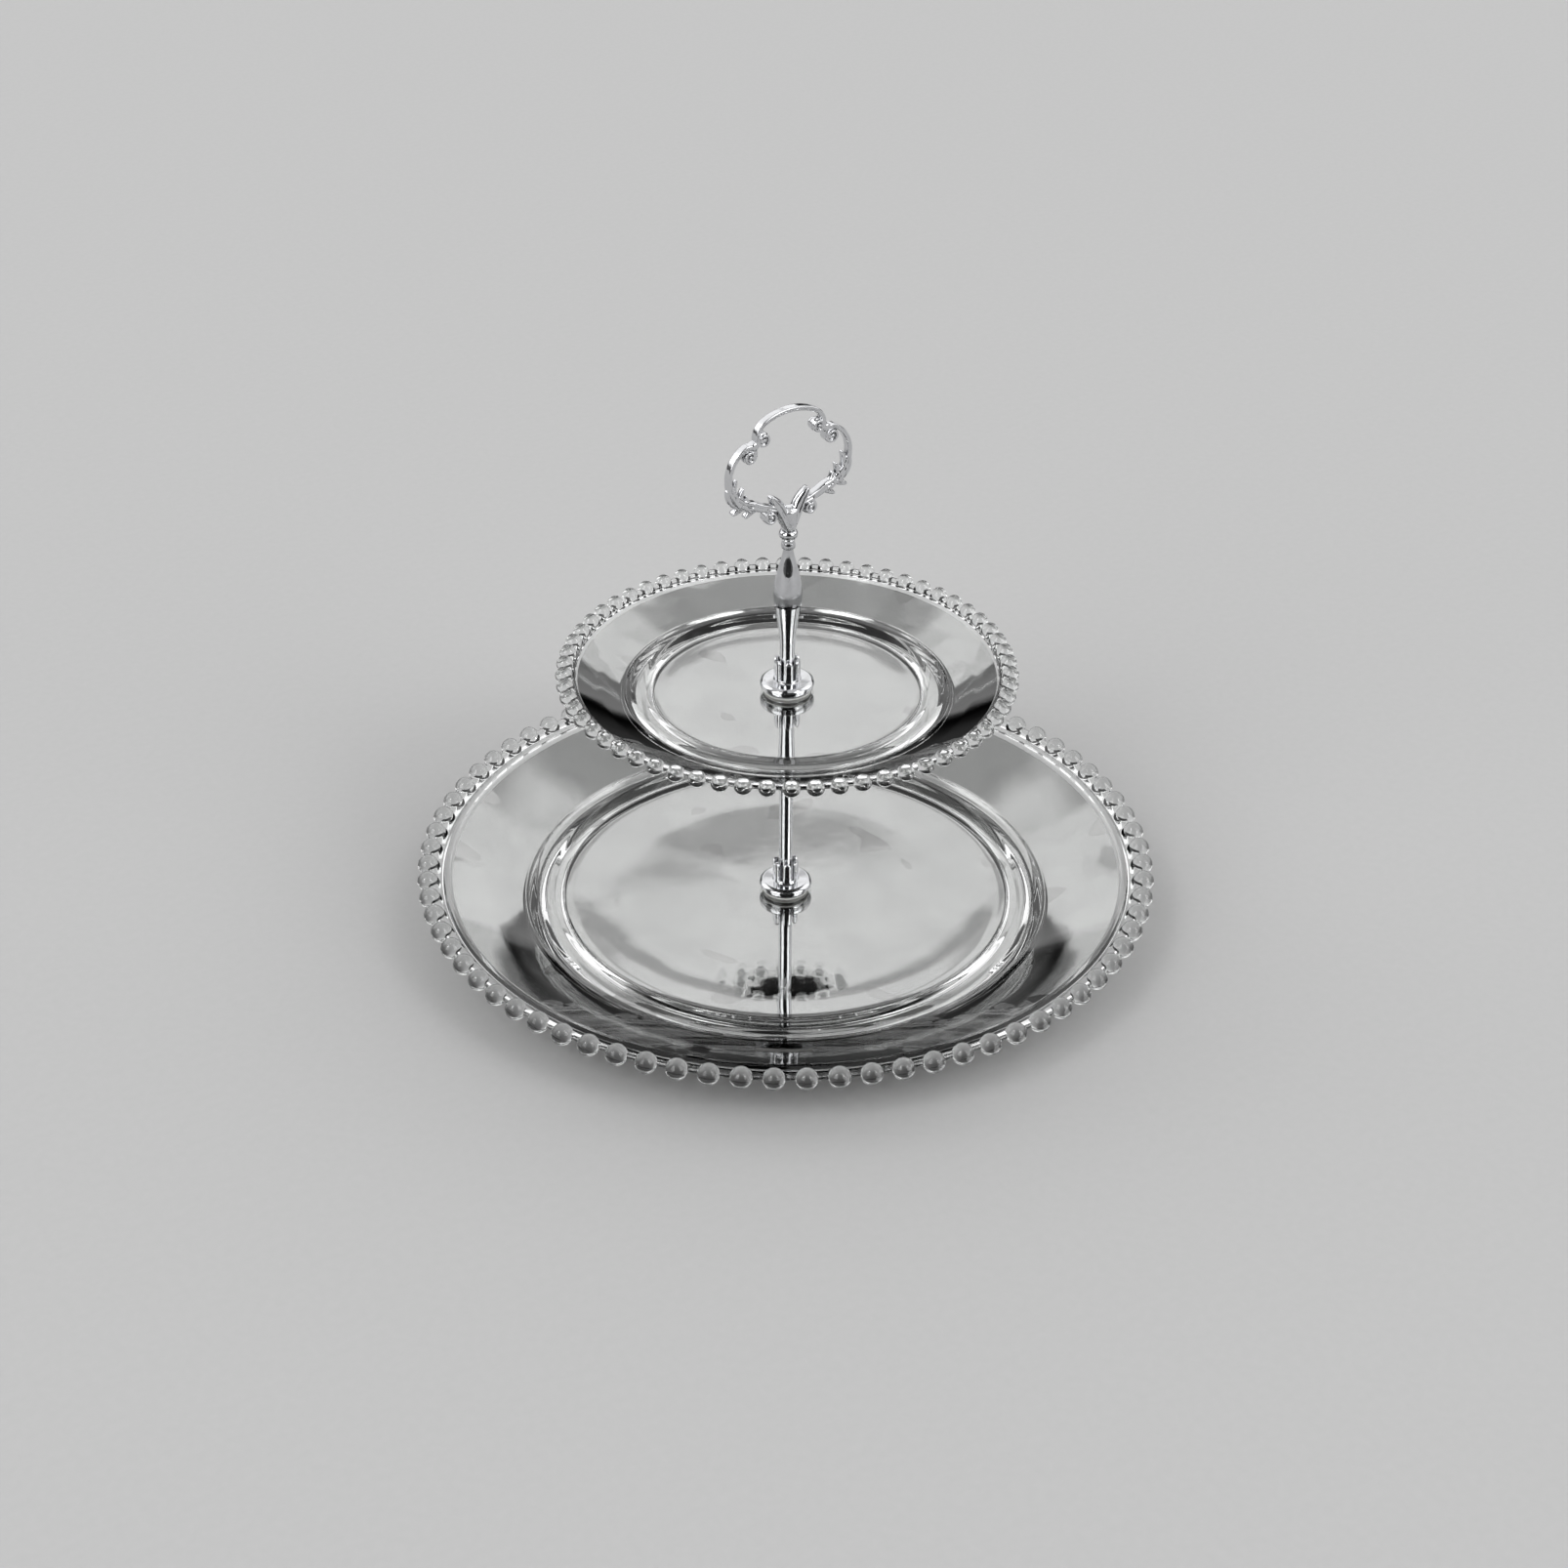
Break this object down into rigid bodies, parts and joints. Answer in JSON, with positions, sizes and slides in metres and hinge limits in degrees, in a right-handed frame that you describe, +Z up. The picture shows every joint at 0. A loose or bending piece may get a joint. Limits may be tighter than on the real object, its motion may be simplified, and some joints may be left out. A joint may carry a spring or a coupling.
{
  "type": "tiered cake stand",
  "caption": "Two-tier cake stand: beaded, silvered glass plates clamped on a screwed chrome column with a scroll ring handle to carry it by.",
  "frame": {"origin": "centre of the foot ring, on the surface that the stand rests on", "axes": "+Z up along the column; the plane of the handle's ring is XZ"},
  "size_m": [0.3298, 0.3298, 0.2458],
  "materials": {
    "silvered_glass": "polished",
    "column_chrome": "polished",
    "cast_chrome": "polished",
    "plain_steel": "satin",
    "gasket": "matte"
  },
  "bodies": {
    "lower_tier": {"lower_plate": "silvered_glass", "base_washer": "plain_steel", "base_gasket": "gasket", "lower_gasket": "gasket"},
    "column": {"base_screw": "plain_steel", "lower_flange": "column_chrome", "column_rod": "column_chrome", "tier_stud": "plain_steel", "support_flange": "column_chrome", "upper_flange": "column_chrome", "spindle": "column_chrome"},
    "upper_tier": {"upper_plate": "silvered_glass", "support_gasket": "gasket", "upper_gasket": "gasket"},
    "collar": {"handle_collar": "column_chrome"},
    "handle": {"handle_ring": "cast_chrome"}
  },
  "joints": [
    {"name": "column_turn", "type": "hinge", "parent": "lower_tier", "child": "column", "pos_m": [0, 0, 0.009], "axis": [0, 0, 1], "continuous": true},
    {"name": "upper_plate_turn", "type": "hinge", "parent": "column", "child": "upper_tier", "pos_m": [0, 0, 0.111], "axis": [0, 0, 1], "continuous": true},
    {"name": "handle_rise", "type": "slide", "parent": "column", "child": "collar", "axis": [0, 0, 1], "range_m": [0, 0.0079]},
    {"name": "handle_turn", "type": "hinge", "parent": "collar", "child": "handle", "pos_m": [0, 0, 0.19], "axis": [0, 0, 1], "range_deg": [0, 4050]}
  ],
  "couplings": [
    {"joint": "handle_rise", "follows": "handle_turn", "m_per_rad": 0.00011141}
  ]
}
